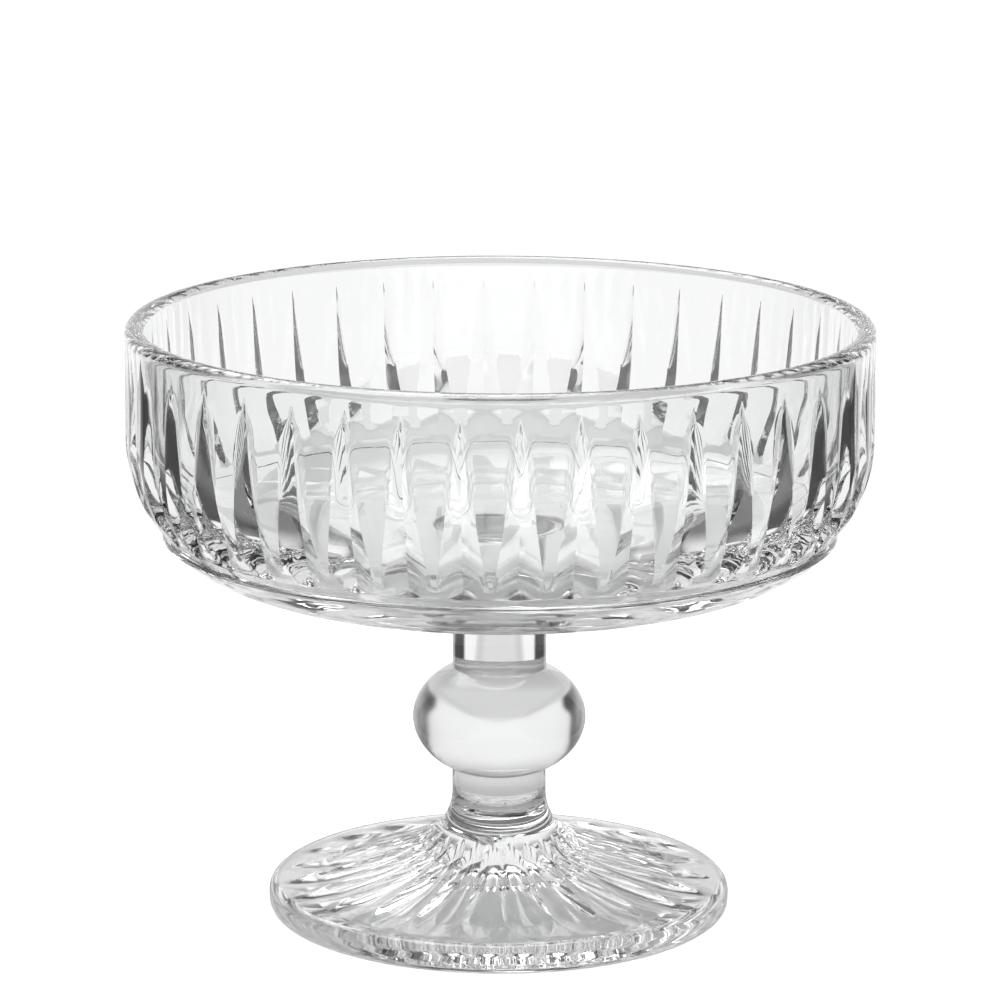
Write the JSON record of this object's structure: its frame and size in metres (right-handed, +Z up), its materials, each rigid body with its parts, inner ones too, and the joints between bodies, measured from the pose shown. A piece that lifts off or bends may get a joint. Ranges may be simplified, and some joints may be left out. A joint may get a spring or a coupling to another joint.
{
  "type": "dessert glass",
  "caption": "Footed dessert glass of clear pressed glass: a wide round bowl with creased flutes on a short stem with a knop, on a round rayed foot.",
  "frame": {"origin": "centre of the foot's underside, in the plane of the table", "axes": "+Z up along the axis of the glass; -Y is the side that faces the camera in the picture"},
  "size_m": [0.11, 0.11, 0.0895],
  "materials": {
    "clear_glass": "fire-polished clear pressed glass"
  },
  "bodies": {
    "root": {"bowl": "clear_glass", "stem": "clear_glass", "foot": "clear_glass"}
  },
  "joints": []
}
